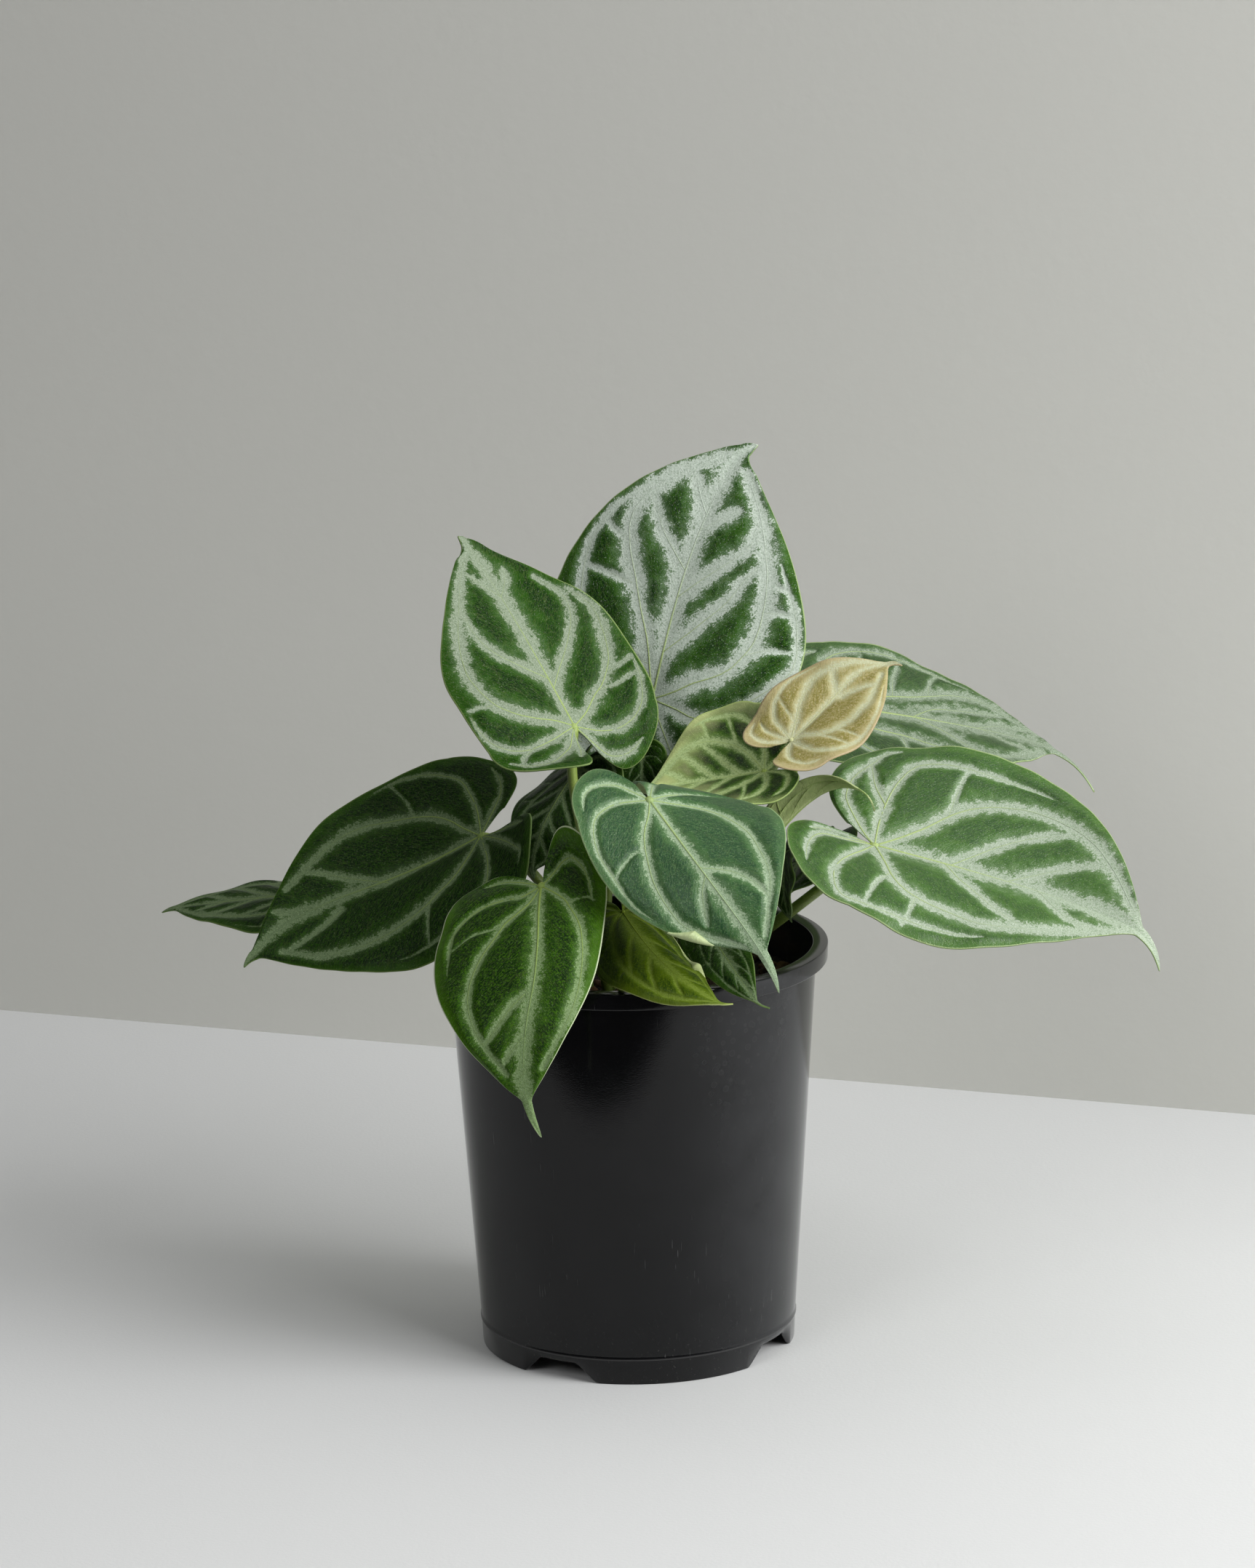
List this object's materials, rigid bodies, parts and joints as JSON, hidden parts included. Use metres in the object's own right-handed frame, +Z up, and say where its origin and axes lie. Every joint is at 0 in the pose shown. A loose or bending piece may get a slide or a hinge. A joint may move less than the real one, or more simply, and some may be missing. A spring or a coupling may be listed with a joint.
{
  "type": "potted anthurium",
  "caption": "Compact house plant with velvety, silver-veined, heart-shaped leaves on arching stalks, growing in a plain black plastic nursery pot.",
  "frame": {"origin": "On the ground, under the middle of the whole plant's extent. The pot's own axis stands 5.5 mm to the left of it.", "axes": "+Z up, +X to the right in the picture, -Y towards the viewer. X is the widest way across the leaves."},
  "size_m": [0.3556, 0.2047, 0.3142],
  "materials": {
    "black_plastic": "satin",
    "potting_mix": "rough",
    "stem": "rough",
    "leaf_silver": "velvety",
    "leaf_dark": "velvety",
    "leaf_green": "velvety",
    "leaf_lime": "satin",
    "leaf_tan": "satin",
    "leaf_pale": "satin"
  },
  "bodies": {
    "root": {"pot": "black_plastic", "potting_mix": "potting_mix", "stem": "stem", "leaf_back_tall": "leaf_silver", "leaf_upper_left": "leaf_silver", "leaf_right": "leaf_silver", "leaf_back_right": "leaf_silver", "leaf_left": "leaf_dark", "leaf_front_middle": "leaf_dark", "leaf_inner_right": "leaf_dark", "leaf_inner_left": "leaf_dark", "leaf_low_right": "leaf_dark", "leaf_inner_top": "leaf_dark", "leaf_far_left": "leaf_green", "leaf_front_hanging": "leaf_green", "leaf_front_small": "leaf_green", "leaf_rear_left": "leaf_green", "leaf_rear_right": "leaf_green", "leaf_middle_lime": "leaf_lime", "leaf_front_olive": "leaf_lime", "leaf_young_tan": "leaf_tan", "leaf_unfurling": "leaf_pale"}
  },
  "joints": []
}
